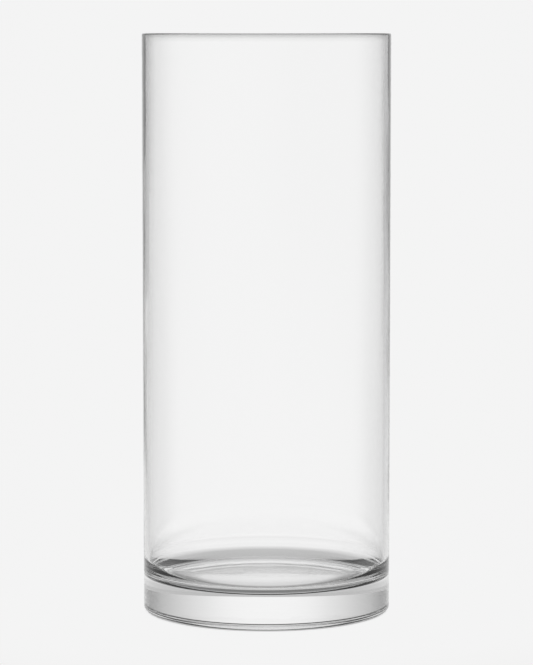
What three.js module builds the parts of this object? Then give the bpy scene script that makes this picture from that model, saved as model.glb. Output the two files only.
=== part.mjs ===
import * as THREE from "three";

// Clear glass cylinder vase. Millimetres, +Z up, origin at the middle of the foot.
// The vase is a straight tube of even thickness that runs into a thick solid base.
// It is modelled as those two bodies, which meet face to face on a flat ring
// just above the inside corner, where the tube reaches its full height of even wall.

// Driving dimensions.
const vaseHeight = 350;
const outerDiameter = 150;
const wallThickness = 3.5;
const floorThickness = 19.8;      // foot to the inside floor
const innerCornerRadius = 13;     // inside, where the wall runs into the floor
const heelRadius = 2.3;           // outside, where the wall runs into the foot
const rimRounding = 0.9;          // on both edges of the rim, with a flat land between them
const footRingWidth = 2.5;        // the flat ring that the vase stands on
const footHollowDepth = 3.5;      // the hollow inside that ring, up to its flat roof
const footHollowCorner = 5;       // how far the hollow's rounded edge reaches in from the ring

// How finely the round shapes are faceted.
const facetsAround = 96;
const facetsPerCorner = 6;
const facetsPerRimEdge = 3;

// Worked out from the driving dimensions.
const outerRadius = outerDiameter / 2;
const innerRadius = outerRadius - wallThickness;
const jointHeight = floorThickness + innerCornerRadius;
const hollowRadius = outerRadius - heelRadius - footRingWidth;

const vase = new THREE.Group();
vase.add(makeBase(), makeWall());

export default vase;

// The base: a thick disc with a hollowed foot, a flat inside floor and a raised edge
// that curves up to the wall. The hollow's edge is a quarter of an ellipse.
function makeBase() {
  const roofRadius = hollowRadius - footHollowCorner;
  const floorRadius = innerRadius - innerCornerRadius;
  const profile = [
    new THREE.Vector2(0, footHollowDepth),
    ...corner(roofRadius, 0, footHollowCorner, footHollowDepth, 90, 0, facetsPerCorner),
    ...corner(outerRadius - heelRadius, heelRadius, heelRadius, heelRadius, -90, 0, facetsPerCorner),
    new THREE.Vector2(outerRadius, jointHeight),
    ...corner(floorRadius, jointHeight, innerCornerRadius, innerCornerRadius, 0, -90, facetsPerCorner),
    new THREE.Vector2(0, floorThickness),
  ];
  return turned("solid_base", profile, clearGlass());
}

// The wall: an open tube that stands on the base's raised edge and ends in the rim.
function makeWall() {
  const outerEdge = outerRadius - rimRounding;
  const innerEdge = innerRadius + rimRounding;
  const edgeHeight = vaseHeight - rimRounding;
  const profile = [
    new THREE.Vector2(innerRadius, jointHeight),
    new THREE.Vector2(outerRadius, jointHeight),
    ...corner(outerEdge, edgeHeight, rimRounding, rimRounding, 0, 90, facetsPerRimEdge),
    ...corner(innerEdge, edgeHeight, rimRounding, rimRounding, 90, 180, facetsPerRimEdge),
    new THREE.Vector2(innerRadius, jointHeight),
  ];
  return turned("tube_wall", profile, clearGlass());
}

// A rounded corner of a profile, about a centre, from one angle to another in degrees.
function corner(centreRadius, centreHeight, width, height, fromAngle, toAngle, facets) {
  const points = [];
  for (let step = 0; step <= facets; step += 1) {
    const angle = THREE.MathUtils.degToRad(fromAngle + (toAngle - fromAngle) * step / facets);
    points.push(new THREE.Vector2(
      centreRadius + width * Math.cos(angle),
      centreHeight + height * Math.sin(angle),
    ));
  }
  return points;
}

// A profile of radius and height turned about the vase's axis.
function turned(name, profile, material) {
  const geometry = new THREE.LatheGeometry(profile, facetsAround);
  geometry.rotateX(Math.PI / 2);
  const mesh = new THREE.Mesh(geometry, material);
  mesh.name = name;
  return mesh;
}

function clearGlass() {
  return new THREE.MeshStandardMaterial({ color: 0xf2f5f4, roughness: 0.03, metalness: 0 });
}
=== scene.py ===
import math

import bpy
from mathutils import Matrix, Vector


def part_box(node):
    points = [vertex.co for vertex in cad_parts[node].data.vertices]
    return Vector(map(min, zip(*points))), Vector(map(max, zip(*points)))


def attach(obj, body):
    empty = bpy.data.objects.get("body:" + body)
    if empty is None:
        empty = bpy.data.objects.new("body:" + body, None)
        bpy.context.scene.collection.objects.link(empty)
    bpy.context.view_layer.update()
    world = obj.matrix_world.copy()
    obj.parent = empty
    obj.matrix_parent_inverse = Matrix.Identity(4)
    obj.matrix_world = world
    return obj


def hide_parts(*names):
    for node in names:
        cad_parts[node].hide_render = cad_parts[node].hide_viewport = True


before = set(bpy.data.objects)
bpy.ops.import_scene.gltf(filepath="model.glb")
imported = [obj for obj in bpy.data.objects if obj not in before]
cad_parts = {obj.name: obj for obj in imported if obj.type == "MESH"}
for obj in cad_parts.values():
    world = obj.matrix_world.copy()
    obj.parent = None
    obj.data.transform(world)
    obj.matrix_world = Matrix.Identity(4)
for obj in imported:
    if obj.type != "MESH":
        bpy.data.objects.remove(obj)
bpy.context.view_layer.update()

base_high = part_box("solid_base")[1]
wall_low, wall_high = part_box("tube_wall")
vase_height = wall_high.z
vase_radius = wall_high.x


# The camera: a long lens at the height of the rim, tilted down just enough to put the vase
# in the middle of the frame.
camera_distance = 5.077 * vase_height
camera_tilt = math.radians(5.81)
camera_lens = 159.2
bpy.ops.object.camera_add(
    location=(0, -camera_distance, vase_height),
    rotation=(math.radians(90) - camera_tilt, 0, 0),
)
camera = bpy.context.object
camera.name = "camera"
camera.data.sensor_width = 36
camera.data.lens = camera_lens
bpy.context.scene.camera = camera


# The glass of the whole vase: clear and polished, with no colour of its own. Its surface has a
# very slight ripple and faint smears, and painted shade, a grey tint along the last few millimetres
# below the rim, stands for the darker rim.
def make_clear_glass():
    rim_shade_depth = 0.005
    glass = bpy.data.materials.new("clear_glass")
    glass.use_nodes = True
    nodes, links = glass.node_tree.nodes, glass.node_tree.links
    shader = nodes["Principled BSDF"]
    shader.inputs["Transmission Weight"].default_value = 1
    shader.inputs["IOR"].default_value = 1.5
    place = nodes.new("ShaderNodeTexCoord")

    # Painted shade: the base colour turns grey towards the rim, so the glass looks darker there.
    split = nodes.new("ShaderNodeSeparateXYZ")
    to_rim = nodes.new("ShaderNodeMapRange")
    to_rim.inputs["From Min"].default_value = vase_height - rim_shade_depth
    to_rim.inputs["From Max"].default_value = vase_height
    rim_shade_ramp = nodes.new("ShaderNodeValToRGB")
    rim_shade_stops = [
        (0, 1), (0.12, 0.97), (0.38, 0.92), (0.5, 0.85), (0.62, 0.76), (0.74, 0.7), (0.86, 0.5),
    ]
    while len(rim_shade_ramp.color_ramp.elements) < len(rim_shade_stops):
        rim_shade_ramp.color_ramp.elements.new(0.5)
    for element, (stop, clearness) in zip(rim_shade_ramp.color_ramp.elements, rim_shade_stops):
        element.position = stop
    for element, (stop, clearness) in zip(rim_shade_ramp.color_ramp.elements, rim_shade_stops):
        element.color = (clearness, clearness, clearness, 1)
    links.new(place.outputs["Object"], split.inputs[0])
    links.new(split.outputs["Z"], to_rim.inputs["Value"])
    links.new(to_rim.outputs["Result"], rim_shade_ramp.inputs["Fac"])
    links.new(rim_shade_ramp.outputs["Color"], shader.inputs["Base Color"])

    stretch = nodes.new("ShaderNodeMapping")
    stretch.inputs["Scale"].default_value = (1, 1, 0.3)
    links.new(place.outputs["Object"], stretch.inputs["Vector"])
    smears = nodes.new("ShaderNodeTexNoise")
    smears.inputs["Scale"].default_value = 22
    smears.inputs["Detail"].default_value = 5
    smears.inputs["Distortion"].default_value = 1.5
    wiped = nodes.new("ShaderNodeMapRange")
    wiped.inputs["From Min"].default_value = 0.55
    wiped.inputs["From Max"].default_value = 0.8
    wiped.inputs["To Max"].default_value = 0.05
    links.new(stretch.outputs["Vector"], smears.inputs["Vector"])
    links.new(smears.outputs["Fac"], wiped.inputs["Value"])
    links.new(wiped.outputs["Result"], shader.inputs["Roughness"])

    ripple = nodes.new("ShaderNodeTexNoise")
    ripple.inputs["Scale"].default_value = 45
    ripple.inputs["Detail"].default_value = 1
    relief = nodes.new("ShaderNodeBump")
    relief.inputs["Strength"].default_value = 1
    relief.inputs["Distance"].default_value = 0.0001
    links.new(stretch.outputs["Vector"], ripple.inputs["Vector"])
    links.new(ripple.outputs["Fac"], relief.inputs["Height"])
    links.new(relief.outputs["Normal"], shader.inputs["Normal"])
    return glass


# Where the base and the wall meet, the real glass has no surface at all, so the two faces
# that close the pieces there let light straight through.
def make_unbroken_glass():
    unbroken = bpy.data.materials.new("unbroken_glass")
    unbroken.use_nodes = True
    nodes, links = unbroken.node_tree.nodes, unbroken.node_tree.links
    nodes.remove(nodes["Principled BSDF"])
    clear = nodes.new("ShaderNodeBsdfTransparent")
    links.new(clear.outputs["BSDF"], nodes["Material Output"].inputs["Surface"])
    return unbroken


clear_glass = make_clear_glass()
unbroken_glass = make_unbroken_glass()


# The solid base: a thick disc of glass, shaped here ring by ring. It stands on a flat ring
# round a shallow hollow, and its inside floor curves up to the wall.
sides = 256
smooth_below = math.radians(30)
wall_thickness = 0.0035
floor_height = 0.0198
corner_radius = base_high.z - floor_height
heel_radius = 0.0023
foot_ring_width = 0.0025
foot_hollow_depth = 0.0035
foot_hollow_corner = 0.005
heel_facets = 12
hollow_facets = 24
corner_facets = 32
rings_across_flat = 12
same_height = 1e-6
facing_along = 0.9
inner_radius = vase_radius - wall_thickness

# Narrow rings beside the rounded stretches keep the shading of the flat faces flat.
ring_support = 0.0003
flat_support = 0.0004


def select_end_face(piece, height):
    bpy.ops.mesh.select_all(action="DESELECT")
    bpy.ops.object.mode_set(mode="OBJECT")
    for face in piece.data.polygons:
        level = abs(face.center.z - height) < same_height
        face.select = level and abs(face.normal.z) > facing_along
    bpy.ops.object.mode_set(mode="EDIT")


def turn_profile(piece, start, profile):
    radius, height = start
    select_end_face(piece, height)
    for new_radius, new_height in profile:
        bpy.ops.mesh.extrude_region()
        scale = new_radius / radius
        bpy.ops.transform.resize(value=(scale, scale, 1), center_override=(0, 0, height))
        bpy.ops.transform.translate(value=(0, 0, new_height - height))
        radius, height = new_radius, new_height
    bpy.ops.mesh.merge(type="CENTER")


def quarter_turn(steps):
    return [math.radians(90) * step / steps for step in range(1, steps + 1)]


def flat_rings(radius, height):
    steps = range(1, rings_across_flat)
    return [(radius * (1 - step / rings_across_flat), height) for step in steps]


bpy.ops.object.select_all(action="DESELECT")
bpy.ops.mesh.primitive_cylinder_add(
    vertices=sides,
    radius=vase_radius,
    depth=base_high.z - heel_radius,
    location=(0, 0, (base_high.z + heel_radius) / 2),
)
base = bpy.context.object
base.name = "base_glass"
bpy.ops.object.transform_apply(location=True)
bpy.ops.object.mode_set(mode="EDIT")
bpy.ops.mesh.select_mode(type="FACE")

hollow_radius = vase_radius - heel_radius - foot_ring_width
foot = [
    (
        vase_radius - heel_radius * (1 - math.cos(angle)),
        heel_radius * (1 - math.sin(angle)),
    )
    for angle in quarter_turn(heel_facets)
]
foot += [(hollow_radius + ring_support, 0), (hollow_radius, 0)]
foot += [
    (
        hollow_radius - foot_hollow_corner * (1 - math.cos(angle)),
        foot_hollow_depth * math.sin(angle),
    )
    for angle in quarter_turn(hollow_facets)
]
flat_radius = hollow_radius - foot_hollow_corner
foot += [(flat_radius - flat_support, foot_hollow_depth)]
foot += flat_rings(flat_radius, foot_hollow_depth)
turn_profile(base, (vase_radius, heel_radius), foot)

dish = [(inner_radius, base_high.z)]
dish += [
    (
        inner_radius - corner_radius * (1 - math.cos(angle)),
        base_high.z - corner_radius * math.sin(angle),
    )
    for angle in quarter_turn(corner_facets)
]
floor_radius = inner_radius - corner_radius
dish += [(floor_radius - flat_support, floor_height)]
dish += flat_rings(floor_radius, floor_height)
turn_profile(base, (vase_radius, base_high.z), dish)
bpy.ops.object.mode_set(mode="OBJECT")
base.data.materials.append(clear_glass)
base.data.materials.append(unbroken_glass)
for face in base.data.polygons:
    at_joint = face.center.z > base_high.z - same_height
    face.material_index = int(at_joint and face.normal.z > facing_along)
bpy.ops.object.shade_smooth_by_angle(angle=smooth_below)
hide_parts("solid_base")
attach(base, "root")


# The tube wall: an even wall of glass from the base to the rim. The rim is level, and its two
# edges are slightly round.
rim_rounding = 0.0009
rim_facets = 8

bpy.ops.object.select_all(action="DESELECT")
bpy.ops.mesh.primitive_cylinder_add(
    vertices=sides,
    radius=vase_radius,
    depth=wall_high.z - wall_low.z,
    location=(0, 0, (wall_high.z + wall_low.z) / 2),
    end_fill_type="NOTHING",
)
wall = bpy.context.object
wall.name = "wall_glass"
bpy.ops.object.transform_apply(location=True)
thickness = wall.modifiers.new("thickness", "SOLIDIFY")
thickness.thickness = wall_thickness
thickness.offset = -1
thickness.use_even_offset = True
bpy.ops.object.modifier_apply(modifier=thickness.name)
bpy.ops.object.mode_set(mode="EDIT")
bpy.ops.mesh.select_mode(type="EDGE")
bpy.ops.mesh.select_all(action="DESELECT")
bpy.ops.object.mode_set(mode="OBJECT")
for edge in wall.data.edges:
    ends = [wall.data.vertices[index].co for index in edge.vertices]
    same_radius = abs(ends[0].xy.length - ends[1].xy.length) < wall_thickness / 2
    edge.select = same_radius and all(end.z > wall_high.z - same_height for end in ends)
bpy.ops.object.mode_set(mode="EDIT")
bpy.ops.mesh.bevel(offset=rim_rounding, segments=rim_facets)
bpy.ops.object.mode_set(mode="OBJECT")
wall.data.materials.append(clear_glass)
wall.data.materials.append(unbroken_glass)
for face in wall.data.polygons:
    at_joint = face.center.z < wall_low.z + same_height
    face.material_index = int(at_joint and face.normal.z < -facing_along)
bpy.ops.object.shade_smooth_by_angle(angle=smooth_below)
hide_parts("tube_wall")
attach(wall, "root")


# The studio: a pale room, bright behind the vase, that falls off softly to both sides, with two
# dark screens higher up and a dimmer ceiling, so that the clear glass shows its edges. There are
# no lamps: the room and the floor glow, and painted shade under the foot and a painted soft
# shadow behind it are drawn on the floor.
background = 0.905


def ramp(tree, value, full_value, stops, smooth=True):
    share = tree.nodes.new("ShaderNodeMath")
    share.operation = "DIVIDE"
    share.inputs[1].default_value = full_value
    tree.links.new(value, share.inputs[0])
    colours = tree.nodes.new("ShaderNodeValToRGB")
    colours.color_ramp.interpolation = "B_SPLINE" if smooth else "LINEAR"
    while len(colours.color_ramp.elements) < len(stops):
        colours.color_ramp.elements.new(0.5)
    for element, (stop, brightness) in zip(colours.color_ramp.elements, stops):
        element.position = stop / stops[-1][0]
    for element, (stop, brightness) in zip(colours.color_ramp.elements, stops):
        element.color = (brightness, brightness, brightness, 1)
    tree.links.new(share.outputs[0], colours.inputs["Fac"])
    return colours.outputs["Color"]


def blend(tree, factor, first, second):
    mix = tree.nodes.new("ShaderNodeMix")
    mix.data_type = "RGBA"
    tree.links.new(factor, mix.inputs["Factor"])
    tree.links.new(first, mix.inputs["A"])
    tree.links.new(second, mix.inputs["B"])
    return mix.outputs["Result"]


def multiply(tree, first, second):
    product = tree.nodes.new("ShaderNodeMix")
    product.data_type = "RGBA"
    product.blend_type = "MULTIPLY"
    product.inputs["Factor"].default_value = 1
    tree.links.new(first, product.inputs["A"])
    tree.links.new(second, product.inputs["B"])
    return product.outputs["Result"]


def step_up(tree, value, start, end):
    step = tree.nodes.new("ShaderNodeMapRange")
    step.interpolation_type = "SMOOTHSTEP"
    step.inputs["From Min"].default_value = start
    step.inputs["From Max"].default_value = end
    tree.links.new(value, step.inputs["Value"])
    return step.outputs["Result"]


world = bpy.data.worlds.new("studio")
bpy.context.scene.world = world
world.use_nodes = True
tree = world.node_tree
place = tree.nodes.new("ShaderNodeTexCoord")
split = tree.nodes.new("ShaderNodeSeparateXYZ")
tree.links.new(place.outputs["Generated"], split.inputs[0])
turn = tree.nodes.new("ShaderNodeMath")
turn.operation = "ARCTAN2"
tree.links.new(split.outputs["X"], turn.inputs[0])
tree.links.new(split.outputs["Y"], turn.inputs[1])
angle = tree.nodes.new("ShaderNodeMath")
angle.operation = "ABSOLUTE"
tree.links.new(turn.outputs[0], angle.inputs[0])

# Height is the sine of the elevation: 0 at the horizon, 1 straight up, -1 straight down.
height = split.outputs["Z"]

# These stops are degrees to either side of straight behind the vase, with a brightness each.
room = ramp(
    tree, angle.outputs[0], math.pi,
    [(0, 1), (10, 1), (20, 0.88), (38, 0.7), (50, 0.6), (60, 0.58), (70, 0.64), (82, 0.96), (180, 1)],
)
screens = ramp(
    tree, angle.outputs[0], math.pi,
    [(0, 1), (10, 1), (20, 0.86), (34, 0.63), (45, 0.5), (53, 0.34), (62, 0.16), (72, 0.06),
     (84, 0.1), (96, 0.6), (108, 1), (180, 1)],
)
sweep_turn = tree.nodes.new("ShaderNodeMath")
sweep_turn.operation = "MULTIPLY_ADD"
sweep_turn.inputs[1].default_value = 2
sweep_turn.inputs[2].default_value = math.radians(90)
tree.links.new(turn.outputs[0], sweep_turn.inputs[0])
sweep_wave = tree.nodes.new("ShaderNodeMath")
sweep_wave.operation = "COSINE"
tree.links.new(sweep_turn.outputs[0], sweep_wave.inputs[0])
sweep_tone = tree.nodes.new("ShaderNodeMapRange")
sweep_tone.inputs["From Min"].default_value = -1
sweep_tone.inputs["From Max"].default_value = 0.9
sweep_tone.inputs["To Min"].default_value = 0.65
tree.links.new(sweep_wave.outputs[0], sweep_tone.inputs["Value"])
white = tree.nodes.new("ShaderNodeRGB")
white.outputs["Color"].default_value = (1, 1, 1, 1)
below = blend(
    tree, step_up(tree, height, -0.85, -0.6),
    white.outputs["Color"], sweep_tone.outputs["Result"],
)
side = blend(tree, step_up(tree, height, -0.26, -0.2), below, room)
side = blend(tree, step_up(tree, height, 0.08, 0.16), side, screens)
ceiling = ramp(tree, height, 1, [(0, 1), (0.54, 1), (0.56, 0.4), (0.62, 0.62), (1, 0.7)])
tree.links.new(multiply(tree, side, ceiling), tree.nodes["Background"].inputs["Color"])
tree.nodes["Background"].inputs["Strength"].default_value = background


# The floor: a pale disc just under the foot, with painted shade under the foot and a painted
# shadow behind it, plain far out and fading into the room.
floor_reach = 0.25
floor_gap = 0.0002
bpy.ops.mesh.primitive_circle_add(
    vertices=128,
    radius=floor_reach,
    fill_type="NGON",
    location=(0, 0, -floor_gap),
)
floor = bpy.context.object
floor.name = "floor"
surface = bpy.data.materials.new("pale_floor")
surface.use_nodes = True
tree = surface.node_tree
tree.nodes.remove(tree.nodes["Principled BSDF"])
place = tree.nodes.new("ShaderNodeTexCoord")
distance = tree.nodes.new("ShaderNodeVectorMath")
distance.operation = "LENGTH"
tree.links.new(place.outputs["Object"], distance.inputs[0])

# These stops are millimetres from the vase's axis, or from the shadow's middle behind it.
shaded_reach = 0.1
# Painted shade on the floor under the foot: darkest 50 to 64 mm from the axis, lighter under the
# middle and under the ring.
foot_painted_shade = ramp(
    tree, distance.outputs["Value"], shaded_reach,
    [(0, 0.85), (40, 0.7), (50, 0.25), (64, 0.15), (68, 0.55), (73.4, 0.6), (75.5, 0.94), (78, 1),
     (100, 1)],
    smooth=False,
)
# Painted shadow behind the foot: a soft grey disc round a point 50 mm behind the axis, used only
# outside the foot.
shadow_middle = (0, 0.05, 0)
behind = tree.nodes.new("ShaderNodeVectorMath")
behind.operation = "DISTANCE"
behind.inputs[1].default_value = shadow_middle
tree.links.new(place.outputs["Object"], behind.inputs[0])
shadow = ramp(
    tree, behind.outputs["Value"], shaded_reach,
    [(0, 0.55), (55, 0.55), (73, 1), (100, 1)],
    smooth=False,
)
shade = blend(tree, step_up(tree, distance.outputs["Value"], 0.072, 0.075), foot_painted_shade, shadow)
glow = tree.nodes.new("ShaderNodeEmission")
glow.inputs["Strength"].default_value = background
tree.links.new(shade, glow.inputs["Color"])
clear = tree.nodes.new("ShaderNodeBsdfTransparent")
surfaces = tree.nodes.new("ShaderNodeMixShader")
tree.links.new(step_up(tree, distance.outputs["Value"], 0.14, 0.24), surfaces.inputs["Fac"])
tree.links.new(glow.outputs["Emission"], surfaces.inputs[1])
tree.links.new(clear.outputs["BSDF"], surfaces.inputs[2])
tree.links.new(surfaces.outputs["Shader"], tree.nodes["Material Output"].inputs["Surface"])
floor.data.materials.append(surface)

bpy.context.scene.view_settings.view_transform = "Standard"
